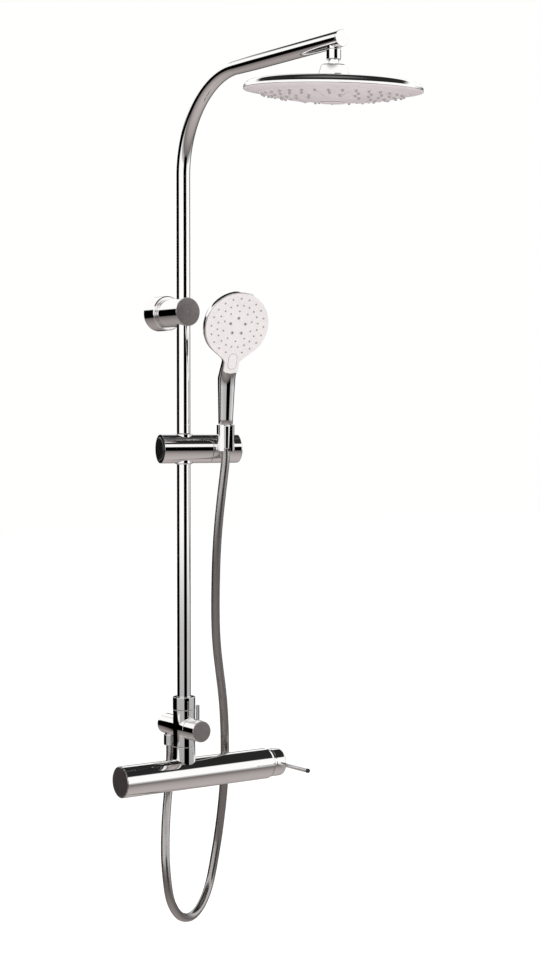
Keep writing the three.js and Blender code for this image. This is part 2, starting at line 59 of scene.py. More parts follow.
# Places, in the CAD's frame
RISER = Vector((0, -76, 0))
ARM_Z = 366.4
ARM_REACH = 394
BALL = RISER + Vector((0, -ARM_REACH, ARM_Z - 46))
HEAD_TILT = math.radians(5.2)
HEAD_LEAN = math.radians(-2.1)
SLIDER = RISER + Vector((0, 0, -219))
SLIDER_TURN = Matrix.Rotation(math.radians(-12), 4, "Z")
CONE = Vector((62, -26, 38))
HANDSET_TURN = Matrix.Rotation(math.radians(2), 4, "Z")
FACE_TILT = math.radians(20)
MIXER = RISER + Vector((0, 0, -744))
DIVERTER = MIXER + Vector((0, 0, 75.6))
OUTLET_BACK = 41
LEVER_X = 178.5
HANDLE_PIVOT_X = 184.1

at_slider = Matrix.Translation(SLIDER) @ SLIDER_TURN
at_handset = at_slider @ Matrix.Translation(CONE) @ HANDSET_TURN
at_face = at_handset @ Matrix.Translation((0, -47, 156)) @ Matrix.Rotation(math.pi / 2 + FACE_TILT, 4, "X")
at_head = Matrix.Translation(BALL) @ Matrix.Rotation(HEAD_TILT, 4, "X") @ Matrix.Rotation(HEAD_LEAN, 4, "Y")


# ---- Materials ----
class Nodes:
    """A material's nodes, made by type and joined by name."""

    def __init__(self, name):
        self.material = bpy.data.materials.new(name)
        self.material.use_nodes = True
        self.tree = self.material.node_tree
        self.shader = self.tree.nodes["Principled BSDF"]

    def add(self, kind, inputs=None, **settings):
        node = self.tree.nodes.new(kind)
        for key, value in settings.items():
            setattr(node, key, value)
        for key, value in (inputs or {}).items():
            self.put(node.inputs[key], value)
        return node

    def put(self, socket, value):
        if isinstance(value, bpy.types.NodeSocket):
            self.tree.links.new(value, socket)
        else:
            socket.default_value = value

    def shade(self, **values):
        for key, value in values.items():
            self.put(self.shader.inputs[key.replace("_", " ")], value)

    def place(self):
        return self.add("ShaderNodeTexCoord").outputs["Object"]

    def noise(self, scale, detail=2.0, vector=None):
        inputs = {"Vector": vector or self.place(), "Scale": scale, "Detail": detail}
        return self.add("ShaderNodeTexNoise", inputs).outputs["Fac"]

    def between(self, value, low, high, start=0.3, end=0.7):
        inputs = {"Value": value, "From Min": start, "From Max": end, "To Min": low, "To Max": high}
        return self.add("ShaderNodeMapRange", inputs).outputs["Result"]

    def tint(self, value, first, second):
        ramp = self.add("ShaderNodeValToRGB", {"Fac": value})
        ramp.color_ramp.elements[0].position = 0.3
        ramp.color_ramp.elements[0].color = (*first, 1)
        ramp.color_ramp.elements[1].position = 0.7
        ramp.color_ramp.elements[1].color = (*second, 1)
        return ramp.outputs["Color"]

    def bump(self, height, strength, distance):
        inputs = {"Height": height, "Strength": strength, "Distance": distance}
        return self.add("ShaderNodeBump", inputs).outputs["Normal"]


def chrome():
    n = Nodes("polished_chrome")
    smear = n.noise(9, 3)
    colour = n.tint(n.noise(4), (0.86, 0.85, 0.845), (0.9, 0.89, 0.885))
    n.shade(Base_Color=colour, Metallic=1.0, Roughness=n.between(smear, 0.035, 0.075))
    n.shade(Normal=n.bump(n.noise(40, 1), 0.004, 0.0001))
    return n.material


def hose_sleeve():
    n = Nodes("hose_sleeve")
    along = n.add("ShaderNodeUVMap").outputs["UV"]
    winding = n.add("ShaderNodeTexWave", {"Vector": along, "Scale": 120, "Distortion": 0.0},
                    bands_direction="Y").outputs["Fac"]
    colour = n.tint(winding, (0.4, 0.38, 0.375), (0.44, 0.42, 0.41))
    n.shade(Base_Color=colour, Metallic=1.0, Roughness=n.between(n.noise(60), 0.24, 0.3))
    n.shade(Normal=n.bump(winding, 0.02, 0.0001))
    n.shade(Coat_Weight=0.5, Coat_Roughness=0.08)
    return n.material


def plastic(name, first, second, roughness, grain, coat=0.0):
    n = Nodes(name)
    colour = n.tint(n.noise(25, 3), first, second)
    n.shade(Base_Color=colour, Roughness=n.between(n.noise(120, 3), roughness - 0.04, roughness + 0.04))
    n.shade(Normal=n.bump(n.noise(2200, 2), grain, 0.0001), Coat_Weight=coat, Coat_Roughness=0.1)
    return n.material


def metal(name, first, second, roughness):
    n = Nodes(name)
    wave = {"Vector": n.place(), "Scale": 600, "Distortion": 0.4}
    turning = n.add("ShaderNodeTexWave", wave).outputs["Fac"]
    n.shade(Base_Color=n.tint(n.noise(80, 4), first, second), Metallic=1.0)
    n.shade(Roughness=n.between(n.noise(300), roughness - 0.06, roughness + 0.06))
    n.shade(Normal=n.bump(turning, 0.05, 0.0001))
    return n.material


LOOKS = {
    "chrome": chrome(),
    "hose_metal": hose_sleeve(),
    "white_plastic": plastic("white_spray_face", (0.69, 0.645, 0.645), (0.72, 0.675, 0.675), 0.36, 0.02, 0.1),
    "pale_face": plastic("pale_spray_face", (0.6, 0.53, 0.54), (0.64, 0.57, 0.58), 0.42, 0.03),
    "grey_plastic": plastic("grey_rubber", (0.36, 0.33, 0.33), (0.42, 0.39, 0.39), 0.5, 0.05),
    "black_plastic": plastic("black_plastic", (0.008, 0.008, 0.008), (0.014, 0.013, 0.013), 0.22, 0.02, 0.3),
    "brass": metal("turned_brass", (0.7, 0.52, 0.26), (0.76, 0.58, 0.32), 0.3),
    "steel": metal("plain_steel", (0.5, 0.5, 0.5), (0.58, 0.58, 0.58), 0.35),
    "rubber_seal": plastic("black_rubber", (0.015, 0.015, 0.015), (0.03, 0.03, 0.03), 0.7, 0.08),
}
# A near-black plastic for the nozzle mouths: painted shade for the inside of the nozzle holes.
NOZZLE_HOLE_SHADE = plastic("painted_nozzle_hole_shade", (0.02, 0.018, 0.018), (0.035, 0.03, 0.03), 0.5, 0.05)


# Satin metal for flat end discs. Its dark base colour is a painted reflection of dark surroundings, on ends
# that are most likely polished chrome like the rest.
SATIN_PAINTED_REFLECTION = metal("painted_reflection_end", (0.3, 0.27, 0.265), (0.34, 0.31, 0.3), 0.42)


# ---- Shapes ----
def mesh_object(name, build, place=Matrix.Identity(4), sharp=35):
    """An object whose mesh is filled by build(bmesh) in millimetres and then set in place."""
    work = bmesh.new()
    build(work)
    bmesh.ops.remove_doubles(work, verts=work.verts, dist=1e-4)
    bmesh.ops.transform(work, matrix=Matrix.Scale(MM, 4) @ place, verts=work.verts)
    bmesh.ops.recalc_face_normals(work, faces=work.faces)
    mesh = bpy.data.meshes.new(name)
    work.to_mesh(mesh)
    work.free()
    for face in mesh.polygons:
        face.use_smooth = True
    mesh.set_sharp_from_angle(angle=math.radians(sharp))
    item = bpy.data.objects.new(name, mesh)
    bpy.context.collection.objects.link(item)
    return item


def facing(direction):
    """Turns +Z to a direction."""
    return UP.rotation_difference(Vector(direction)).to_matrix().to_4x4()


def at(centre, direction=UP):
    return Matrix.Translation(centre) @ facing(direction)


def rounded(profile, radius, closed):
    """Rounds a profile's corners, and holds the flats beside them with points of their own."""
    points = [Vector(p) for p in profile]
    count = len(points)
    out = []
    for i, corner in enumerate(points):
        if not closed and i in (0, count - 1):
            out.append(corner)
            continue
        before = points[i - 1] - corner
        after = points[(i + 1) % count] - corner
        turn = math.pi - before.angle(after)
        if turn < math.radians(18):
            out.append(corner)
            continue
        trim = min(radius * math.tan(turn / 2), 0.35 * before.length, 0.35 * after.length)
        hold = min(0.25 * trim + 0.05, 0.1 * before.length, 0.1 * after.length)
        first = corner + before.normalized() * trim
        last = corner + after.normalized() * trim
        out.append(first + before.normalized() * hold)
        for step in range(5):
            t = step / 4
            out.append(first * (1 - t) ** 2 + corner * 2 * t * (1 - t) + last * t * t)
        out.append(last + after.normalized() * hold)
    return out


def turned(name, profile, place, soft=0.4, sides=96, sharp=50):
    """A turned piece from [radius, height] points; it closes on the axis or on itself."""
    closed = profile[0][0] > 0 or profile[-1][0] > 0
    line = rounded(profile, soft, closed)

    def build(work):
        rings = []
        for radius, height in line:
            if radius < 1e-6:
                rings.append([work.verts.new((0, 0, height))] * sides)
                continue
            angles = [2 * math.pi * k / sides for k in range(sides)]
            around = [(radius * math.cos(a), radius * math.sin(a), height) for a in angles]
            rings.append([work.verts.new(p) for p in around])
        pairs = list(zip(rings, rings[1:]))
        if closed:
            pairs.append((rings[-1], rings[0]))
        for low, high in pairs:
            for k in range(sides):
                quad = [low[k], low[(k + 1) % sides], high[(k + 1) % sides], high[k]]
                corners = list(dict.fromkeys(quad))
                if len(corners) > 2:
                    work.faces.new(corners)

    return mesh_object(name, build, place, sharp)


def disc(radius, low, high):
    return [[0, low], [radius, low], [radius, high], [0, high]]


def ring(outer, inner, low, high):
    return [[inner, low], [outer, low], [outer, high], [inner, high]]


def swept(name, points, radius, sides=48):
    """A closed tube along close points, with UVs: u around it, and v along it in metres."""
    line = [Vector(p) for p in points]

    def build(work):
        uv = work.loops.layers.uv.new("UVMap")
        side = RIGHT.copy()
        rings = []
        travelled = 0.0
        for i, here in enumerate(line):
            tangent = (line[min(i + 1, len(line) - 1)] - line[max(i - 1, 0)]).normalized()
            side = (side - tangent * side.dot(tangent)).normalized()
            other = tangent.cross(side)
            if i:
                travelled += (here - line[i - 1]).length
            turn = [2 * math.pi * k / sides for k in range(sides)]
            verts = [work.verts.new(here + (side * math.cos(a) + other * math.sin(a)) * radius) for a in turn]
            rings.append((verts, travelled * MM))
        for (low, v0), (high, v1) in zip(rings, rings[1:]):
            for k in range(sides):
                nxt = (k + 1) % sides
                face = work.faces.new([low[k], low[nxt], high[nxt], high[k]])
                corners = [(k, v0), (k + 1, v0), (k + 1, v1), (k, v1)]
                for loop, (around, along) in zip(face.loops, corners):
                    loop[uv].uv = (around / sides, along)
        work.faces.new(list(reversed(rings[0][0])))
        work.faces.new(rings[-1][0])

    return mesh_object(name, build)


def combine(piece, others, operation):
    """Cuts or joins other pieces into one, and removes them."""
    for other in others:
        step = piece.modifiers.new(operation.lower(), "BOOLEAN")
        step.operation = operation
        step.solver = "EXACT"
        step.object = other
    graph = bpy.context.evaluated_depsgraph_get()
    made = bpy.data.meshes.new_from_object(piece.evaluated_get(graph))
    piece.modifiers.clear()
    piece.data = made
    for other in others:
        bpy.data.objects.remove(other)
    for face in made.polygons:
        face.use_smooth = True
    made.set_sharp_from_angle(angle=math.radians(40))
    return piece


def cut(piece, *others):
    return combine(piece, others, "DIFFERENCE")


def join(piece, *others):
    return combine(piece, others, "UNION")


def finish(piece, node, slot, look=None):
    """Hides the CAD node that a piece stands for, and gives the piece its material."""
    if node:
        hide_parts(node)
    piece.data.materials.clear()
    piece.data.materials.append(look or LOOKS[slot])
    return piece


def show(piece, body, node, slot="chrome", look=None):
    """Finishes a piece: its body, the CAD node it stands for, and its material."""
    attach(piece, body)
    return finish(piece, node, slot, look)


def painted_reflection_end(piece, direction, tolerance=3):
    """Gives the flat end that faces a direction its darker satin finish: a painted reflection of dark
    surroundings, where polished chrome would mirror them.
    """
    piece.data.materials.append(SATIN_PAINTED_REFLECTION)
    centre = max(f.center.dot(direction) for f in piece.data.polygons)
    for face in piece.data.polygons:
        flat = face.normal.angle(direction) < math.radians(tolerance)
        if flat and face.center.dot(direction) > centre - 0.0012:
            face.material_index = 1


def smooth_line(points, gap):
    """Close points, about a gap apart, on a centripetal Catmull-Rom curve through a route."""
    route = [Vector(p) for p in points]
    route = [2 * route[0] - route[1], *route, 2 * route[-1] - route[-2]]
    line = [route[1]]
    for p0, p1, p2, p3 in zip(route, route[1:], route[2:], route[3:]):
        t1 = (p1 - p0).length ** 0.5
        t2 = t1 + (p2 - p1).length ** 0.5
        t3 = t2 + (p3 - p2).length ** 0.5
        steps = max(2, round((p2 - p1).length / gap))
        for k in range(1, steps + 1):
            t = t1 + (t2 - t1) * k / steps
            a1 = p0 * (t1 - t) / t1 + p1 * t / t1
            a2 = p1 * (t2 - t) / (t2 - t1) + p2 * (t - t1) / (t2 - t1)
            a3 = p2 * (t3 - t) / (t3 - t2) + p3 * (t - t2) / (t3 - t2)
            b1 = a1 * (t2 - t) / t2 + a2 * t / t2
            b2 = a2 * (t3 - t) / (t3 - t1) + a3 * (t - t1) / (t3 - t1)
            line.append(b1 * (t2 - t) / (t2 - t1) + b2 * (t - t1) / (t2 - t1))
    return line


# ---- Camera ----
CAMERA_PLACE = Vector((-1.60187, -2.55421, -0.17363))
CAMERA_AZIMUTH = math.radians(35.57)
CAMERA_DIP = math.radians(1.84)
FOCAL_HEIGHTS = 1836.04 / 959


def add_camera():
    data = bpy.data.cameras.new("camera")
    data.sensor_width = 36
    data.lens = data.sensor_width * FOCAL_HEIGHTS
    data.clip_end = 100
    camera = bpy.data.objects.new("camera", data)
    camera.location = CAMERA_PLACE
    camera.rotation_euler = (math.pi / 2 - CAMERA_DIP, 0, -CAMERA_AZIMUTH)
    bpy.context.collection.objects.link(camera)
    bpy.context.scene.camera = camera


add_camera()


# ---- Hose ----
# Points about the mixer's axis, fitted to one smooth curve; the CAD source holds the same list
HOSE_ROUTE = [
    (55.24, -38.32, 536), (55.24, -38.32, 524), (55.1, -38.3, 508), (50.5, -34.4, 454.2),
    (48.7, -31, 423.2), (48.1, -26.6, 389.8), (49, -21.6, 357.1), (51.4, -15.9, 324), (54.9, -9.5, 291),
    (59.4, -2.6, 258.4), (64.9, 4.4, 225.7), (71.9, 10.8, 192.9), (79.8, 16.3, 160.8), (87.7, 21.2, 128.7),
    (94.4, 26.2, 96.9), (99.7, 31.2, 65.3), (103.8, 36.1, 33.6), (106.8, 40.9, 2.7), (108.8, 45.8, -27.5),
    (109.7, 51.1, -58.1), (109.5, 56.3, -88.2), (108.3, 61.1, -117.6), (106, 64.1, -142), (93.3, 64, -198),
    (81.2, 58.5, -219.4), (61, 48.3, -237.8), (35.1, 34.9, -245.3), (9, 21.7, -238.8),
    (-7.8, 13.5, -225.6), (-23.3, 6.8, -200.3), (-30.5, 7.8, -145.4), (-27.2, 14.4, -115.4),
    (-20.7, 23.2, -86.1), (-12.9, 31.7, -56.3), (-5.3, 38.2, -23.8), (-0.4, 41, 16), (0, 41, 34),
    (0, 41, 48),
]
HOSE_RADIUS = 7


def hose():
    line = smooth_line([MIXER + Vector(p) for p in HOSE_ROUTE], 4)
    tube = swept("hose", line, HOSE_RADIUS - 0.05)
    finish(tube, "shower_hose", "hose_metal")
    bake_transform(tube)
    return tube


# ---- Wall bracket ----
def wall_bracket():
    flange = turned("wall_flange", [
        [0, 0], [28, 0], [28, 29.5], [26.5, 31], [19.5, 31], [19.5, 4], [0, 4],
    ], at((0, 0, 0), FRONT), 0.8)
    holes = [turned("hole", disc(2.6, -1, 5), at((x, 0, 0), FRONT), 0, 24) for x in (-11, 11)]
    show(cut(flange, *holes), "root", "bracket_flange")
    body = turned("bracket_barrel", [
        [12, 10], [19, 10], [19, 31.3], [22.8, 31.3], [22.8, 89.4], [0, 89.4], [0, 50], [12, 50],
    ], at((0, 0, 0), FRONT), 0.6, 128)
    bore = turned("bore", disc(11.3, -30, 30), at(RISER), 0)
    # The barrel's front end takes the painted reflection.
    painted_reflection_end(show(cut(body, bore), "root", "bracket_body"), FRONT)


# ---- Riser and arm ----
def riser():
    bend = [(0, RISER.y, -652)]
    bend += [(0, RISER.y, z) for z in range(-640, 216, 24)]
    bend_radius = 150
    for step in range(61):
        angle = math.pi / 2 * step / 60
        bend.append((0, RISER.y - bend_radius * (1 - math.cos(angle)),
                     ARM_Z - bend_radius * (1 - math.sin(angle))))
    bend.append((0, RISER.y - bend_radius - 20, ARM_Z))
    show(swept("riser_tube", bend, 10.95, 96), "root", "riser_pipe")
    arm = turned("arm_sleeve", [
        [11.05, 151], [11.3, 151], [12, 200], [12, 411], [11.3, 411], [11.3, 200],
    ], at(RISER + UP * ARM_Z, FRONT), 0.15)
    show(arm, "root", "arm_tube")
    cap = turned("arm_cap", [[0, 405], [11, 405], [11, 411.3], [12, 411.3], [12, 414], [0, 414]],
                 at(RISER + UP * ARM_Z, FRONT), 0.5)
    show(cap, "root", "arm_end_cap")


def head_connection():
    drop = at(BALL + UP * 46)
    spout = [[5, -19], [7.5, -19], [7.5, -13], [9.6, -13], [9.6, -8], [5, -8]]
    nipple = turned("arm_spout", spout, drop, 0.3)
    collar = turned("collar", ring(9.6, 5, -13, 4), drop, 0.3)
    sleeve = turned("sleeve", disc(12.3, -20, 20), at(BALL + UP * 46, FRONT), 0)
    show(cut(join(nipple, collar), sleeve), "root", "arm_nipple")
    show(turned("swivel_ring", [
        [7.9, -13.3], [10.4, -13.3], [10.4, -27.4], [8, -27.4], [8, -25.9], [9.3, -25.9], [9.3, -17],
        [7.9, -17],
    ], drop, 0.6), "root", "swivel_nut")
    turns = [math.radians(45 + 7.7 * k) for k in range(16)]
    ball = [[12 * math.sin(a), -46 + 12 * math.cos(a)] for a in turns]
    neck = [[4, -21], [9, -21], [9, -25.6], [7.3, -26.4], [7.3, -35], [7.9, -37.2]]
    show(turned("ball_joint", neck + ball[1:], drop, 0.3), "root", "ball_stem")


# ---- Rain shower ----
RIM = -24
DISH = 16.2
HEAD_R = 129


def dish(radius, top):
    return top - DISH * (1 - (radius / HEAD_R) ** 2)


def nub(work, place, radius, height, sides=14):
    """A small rubber nozzle: a tapered cup standing on a face."""
    steps = [
        (1.25, -0.4), (1.15, 0.0), (1.0, 0.2), (0.86, 0.85), (0.72, 1.0), (0.5, 1.0), (0.4, 0.75),
        (0.36, 0.3),
    ]
    rings = []
    for wide, tall in steps:
        turn = [2 * math.pi * k / sides for k in range(sides)]
        rings.append([work.verts.new(place @ Vector((radius * wide * math.cos(a), radius * wide * math.sin(a),
                                                     height * tall))) for a in turn])
    for low, high in zip(rings, rings[1:]):
        for k in range(sides):
            work.faces.new([low[k], low[(k + 1) % sides], high[(k + 1) % sides], high[k]])
    work.faces.new(list(reversed(rings[0])))
    work.faces.new(rings[-1])


def painted_shade_dots(name, places, radius, height, body, slot):
    """Small dark discs at the mouths of the nozzles: painted shade that stands in for the shade inside the
    holes.
    """
    def build(work):
        for place in places:
            turn = [2 * math.pi * k / 12 for k in range(12)]
            low = [work.verts.new(place @ Vector((radius * math.cos(a), radius * math.sin(a), height - 0.3)))
                   for a in turn]
            high = [work.verts.new(place @ Vector((radius * math.cos(a), radius * math.sin(a), height)))
                    for a in turn]
            work.faces.new(list(reversed(low)))
            work.faces.new(high)
            for k in range(12):
                work.faces.new([low[k], low[(k + 1) % 12], high[(k + 1) % 12], high[k]])
    piece = mesh_object(name, build, sharp=30)
    show(piece, body, None, slot, NOZZLE_HOLE_SHADE)


RIBS = [math.radians(a) for a in (-141, -114, -21, 6, 99, 126)]


def spray_ribs():
    """Low ribs that run out from the ring on the spray face, in pairs."""
    def build(work):
        for angle in RIBS:
            turn = Matrix.Rotation(angle, 4, "Z")
            rings = []
            for step in range(13):
                r = 51 + 41 * step / 12
                wide = 2.4 if 0 < step < 12 else 1.6
                top = dish(r, RIM - 1.2)
                section = [(-wide, 0.4), (-wide, -0.5), (-wide + 0.5, -0.9), (wide - 0.5, -0.9), (wide, -0.5),
                           (wide, 0.4)]
                rings.append([work.verts.new(turn @ Vector((r, y, top + z))) for y, z in section])
            for low, high in zip(rings, rings[1:]):
                for k in range(6):
                    work.faces.new([low[k], low[(k + 1) % 6], high[(k + 1) % 6], high[k]])
            work.faces.new(list(reversed(rings[0])))
            work.faces.new(rings[-1])
    return mesh_object("spray_ribs", build, at_head)


def rain_shower():
    show(turned("head_hub", [
        [14.7, 0], [14.7, -7.9], [22, -7.9], [22, -2], [21.5, 0], [18.2, 10.4], [17, 11.5], [13.6, 11.5],
        [11.6, 5.6], [12.8, 2.4], [13, 0],
    ], at_head, 0.8), "rain_head", "head_boss")
    shell = [
        [12.6, -8.2], [24, -8.2], [60, -8.75], [90, -9.7], [104, -10.5], [113, -11.6], [119, -13],
        [123.5, -15.2], [126.4, -17.8], [128, -20.6], [128.6, RIM], [126, RIM], [125, -20.4],
        [119, -15.9], [100, -12.4], [12.6, -10.4],
    ]
    show(turned("head_top", shell, at_head, 0.3, 160, 60), "rain_head", "head_shell")
    radii = [0, 16, 32, 48.9]
    face = [[r, dish(r, RIM - 1.2)] for r in radii]
    face += [[49.5, dish(49.5, RIM - 0.4)], [50.5, dish(50.5, RIM - 0.4)]]
    face += [[r, dish(r, RIM - 1.2)] for r in (51.1, 64, 78, 92, 104, 109.2)]
    face += [[109.8, dish(110, RIM - 0.3)], [110.6, dish(111, RIM - 0.3)], [111.2, dish(111.5, RIM - 1.2)]]
    face += [[118, -28.1], [124, -27.1], [127.6, -26.1], [128.8, -25.1]]
    face += [[128.9, RIM - 0.35], [122, RIM - 0.35]]
    inner = [[r, dish(r, RIM + 1.4)] for r in (100, 74, 40, 0)]
    show(turned("spray_face", face + inner, at_head, 0.1, 160, 60), "rain_head", "head_face", "pale_face")
    cap = [[0, -41.4], [17.5, -41.4], [17.5, -42.2], [16.6, -43.1], [10, -43.2], [9.4, -42.9], [8.8, -43.2],
           [0, -43.2]]
    show(turned("spray_centre", cap, at_head, 0.15, 64), "rain_head", "head_centre_cap", "pale_face")
    show(spray_ribs(), "rain_head", None, "pale_face")
    places = []
    for radius, count, turn in ((60, 15, 0.1), (74, 21, 0.0), (88, 27, 0.05), (101, 33, 0.0)):
        for k in range(count):
            a = 2 * math.pi * k / count + turn
            if radius < 95 and min(abs(math.remainder(a - rib, 2 * math.pi)) for rib in RIBS) < 0.09:
                continue
            point = Vector((radius * math.cos(a), radius * math.sin(a), dish(radius, RIM - 1.2)))
            slope = math.atan(2 * DISH * radius / HEAD_R ** 2)
            lean = Matrix.Rotation(a, 4, "Z") @ Matrix.Rotation(-slope, 4, "Y")
            lean = lean @ Matrix.Rotation(math.pi, 4, "X")
            places.append(at_head @ Matrix.Translation(point) @ lean)

    def build(work):
        for place in places:
            nub(work, place, 2.1, 2.6)
    show(mesh_object("rain_nozzles", build, sharp=50), "rain_head", "head_nozzle_mat", "grey_plastic")


# ---- Slider and holder ----
def slider():
    axis = SLIDER_TURN.to_3x3() @ RIGHT
    along = at(SLIDER, axis)
    body = turned("slider_barrel", [
        [0, -17], [19, -17], [19, -40], [23.2, -40], [23.2, 43], [9.5, 43], [9.5, 24], [0, 24],
    ], along, 0.5, 128)
    bore = turned("bore", disc(14.35, -30, 30), at(SLIDER), 0)
    show(cut(body, bore), "slider", "slider_body")
    for side, word in ((1, "upper"), (-1, "lower")):
        show(turned(f"slider_sleeve_{word}", [
            [11.35, 8 * side], [14.1, 8 * side], [14.1, 23.2 * side], [12.5, 24.8 * side],
            [11.35, 24.8 * side],
        ], at(SLIDER), 0.3), "slider", f"slider_bush_{word}")
    show(turned("lock_cap", [
        [0, -42], [17, -42], [18.6, -41], [18.6, -35.5], [5, -35.5], [5, -22], [0, -22],
    ], along, 0.5), "lock_button", "slider_lock_button", "black_plastic")
    barrel = turned("holder_barrel", [
        [0, 54], [9.5, 54], [9.5, 43.6], [23.2, 43.6], [23.2, 91.5], [22.4, 93.1], [20.7, 94], [0, 94],
    ], along, 0.6, 128)
    socket_place = at_slider @ Matrix.Translation((CONE.x, CONE.y, 0))
    socket = turned("socket", disc(14.3, -4, 38.6), socket_place, 0.5)
    cone = turned("cone", [[0, -30], [8.4, -30], [8.4, -5], [10.8, 40], [0, 40]], socket_place, 0)

    def slot(work):
        bmesh.ops.create_cube(work, size=1, matrix=Matrix.Translation((0, -12, 21)) @ Matrix.Diagonal(
            (15.5, 24, 52, 1)))
    gap = mesh_object("gap", slot, socket_place)
    show(cut(join(barrel, socket), cone, gap), "holder", "handset_holder")


# ---- Hand shower ----
def bezier(points, count):
    a, b, c, d = (Vector(p) for p in points)
    out = []
    for k in range(count + 1):
        t = k / count
        out.append(a * (1 - t) ** 3 + b * 3 * t * (1 - t) ** 2 + c * 3 * t * t * (1 - t) + d * t ** 3)
    return out


def spoon(radius, neck, tail, fine=72):
    """Half outline of the spray face, from its top to its pointed tail, as (half width, height)."""
    leave = math.radians(-57)
    arc = [Vector((radius * math.cos(a), radius * math.sin(a)))
           for a in [math.pi / 2 + (leave - math.pi / 2) * k / fine for k in range(fine + 1)]]
    flare = bezier([arc[-1], (radius * 0.36, -54), (neck, -56), (neck, -63)], 14)
    point = [Vector((neck, tail + 3.5)), Vector((neck * 0.75, tail + 1.6)), Vector((0, tail))]
    return arc + flare[1:] + point


def outline_plate(name, outline, low, high, soft, place):
    """A plate of a symmetric outline with a rounded front edge."""
    half = outline
    loop = half + [Vector((-p.x, p.y)) for p in reversed(half[1:-1])]
    count = len(loop)
    inward = []
    for i, p in enumerate(loop):
        tangent = (loop[(i + 1) % count] - loop[i - 1]).normalized()
        inward.append(Vector((tangent.y, -tangent.x)))
    steps = [(0.0, low), (0.0, high - soft)]
    steps += [(soft * (1 - math.cos(a)), high - soft * (1 - math.sin(a)))
              for a in [math.pi / 2 * k / 5 for k in range(1, 6)]]
    steps.append((soft + 0.3, high))

    def build(work):
        rings = []
        for inset, height in steps:
            rings.append([work.verts.new((*(p + v * inset), height)) for p, v in zip(loop, inward)])
        for lower, upper in zip(rings, rings[1:]):
            for k in range(count):
                work.faces.new([lower[k], lower[(k + 1) % count], upper[(k + 1) % count], upper[k]])
        work.faces.new(list(reversed(rings[0])))
        work.faces.new(rings[-1])
    return mesh_object(name, build, place, 50)


def stadium(half_width, half_length, centre):
    straight = half_length - half_width
    top = [Vector((half_width * math.cos(a), centre + straight + half_width * math.sin(a)))
           for a in [math.pi / 2 - math.pi / 2 * k / 12 for k in range(13)]]
    return top + [Vector((p.x, 2 * centre - p.y)) for p in reversed(top)]


BUTTON_V = -58.5


def hand_shower():
    face = outline_plate("spray_plate", spoon(53.5, 12.4, -79), -2.5, 0, 1.0, at_face)
    pocket = outline_plate("pocket", stadium(7.6, 13.2, BUTTON_V), -9, 5, 0.1, at_face)
    show(cut(face, pocket), "handset", "handset_face", "white_plastic")
    show(outline_plate("spray_button", stadium(7.1, 12.8, BUTTON_V), -6.5, 0.8, 0.8, at_face),
         "spray_button", "handset_button", "white_plastic")
    # A black slab just behind and round the button is painted shade: it darkens the gap round the button
    # where shadow falls.
    show(outline_plate("button_gap_shade", stadium(7.55, 13.15, BUTTON_V), -8.5, -0.5, 0.1, at_face),
         "handset", None, "black_plastic")
    show(handset_shell(), "handset", "handset_body")
    outer, small, large = [], [], []
    for radius, count, turn in ((45.2, 20, 90), (34.5, 20, 99), (24.6, 10, 90)):
        for k in range(count):
            a = math.radians(turn + 360 * k / count)
            point = Vector((radius * math.cos(a), radius * math.sin(a), 0))
            if radius > 40 and point.y < -44:
                continue
            small.append(at_face @ Matrix.Translation(point))
    for k in range(5):
        a = math.radians(90 + 72 * k)
        large.append(at_face @ Matrix.Translation((13.4 * math.cos(a), 13.4 * math.sin(a), 0)))

    def build(work):
        for place in small:
            nub(work, place, 1.35, 0.7)
        for place in large:
            nub(work, place, 2.3, 0.7, 20)
    show(mesh_object("hand_nozzles", build, sharp=50), "handset", "handset_nozzle_mat", "grey_plastic")
    painted_shade_dots("hand_nozzle_mouth_shade", small, 0.8, 0.57, "handset", "grey_plastic")
    painted_shade_dots("hand_nozzle_large_mouth_shade", large, 1.95, 0.64, "handset", "grey_plastic")


def handset_shell():
    """The chrome body, lofted from the grip's foot, round at the bottom and flat behind the spray face."""
    head_r = 54.6
    to_handset = at_handset.inverted() @ at_face
    outline = list(reversed(spoon(head_r, 13.2, -80)))
    stations = []
    grip_rings = (
        (1.2, 10.6, 0), (1.6, 11.2, 0), (2.6, 11.6, 0.1), (10, 11.8, 0.5), (25, 12.3, 1.2),
        (45, 13.0, 2.3), (62, 13.7, 3.3), (76, 14.2, 4.2),
    )
    for s, radius, lean in grip_rings:
        stations.append((Vector((0, -lean, s)), 0.0, radius, radius, radius, 2.0, 2.0))
    for p in outline[3:]:
        centre = to_handset @ Vector((0, p.y, -10))
        stations.append((centre, p.y, p.x, 7.2, None, 8.0, 2.3))
    made = []
    for centre, v, half, front, behind, sharp_front, sharp_back in stations:
        if behind is None:
            reach = min(1.0, abs(v) / head_r)
            dome = 14 * (1 - reach ** 2.6) + 0.2
            grip = 12.5
            mix = min(1.0, max(0.0, (v + 76) / 34))
            mix = mix * mix * (3 - 2 * mix)
            behind = grip * (1 - mix) + max(dome, 0.2) * mix if v < 0 else dome
            tilt = FACE_TILT
        else:
            tilt = 0.05
        made.append((centre, tilt, half, front, behind, sharp_front, sharp_back))

    def build(work):
        rings = []
        count = 64
        for centre, tilt, half, front, behind, n_front, n_back in made:
            lean = Matrix.Rotation(tilt, 3, "X")
            loop = []
            for k in range(count):
                a = 2 * math.pi * k / count
                c, s = math.cos(a), math.sin(a)
                power = n_front if s < 0 else n_back
                x = math.copysign(abs(c) ** (2 / power), c) * half
                y = math.copysign(abs(s) ** (2 / power), s) * (front if s < 0 else behind)
                loop.append(work.verts.new(centre + lean @ Vector((x, y, 0))))
            rings.append(loop)
        for low, high in zip(rings, rings[1:]):
            for k in range(count):
                work.faces.new([low[k], low[(k + 1) % count], high[(k + 1) % count], high[k]])
        work.faces.new(list(reversed(rings[0])))
        work.faces.new(rings[-1])
    return mesh_object("handset_shell", build, at_handset, 60)


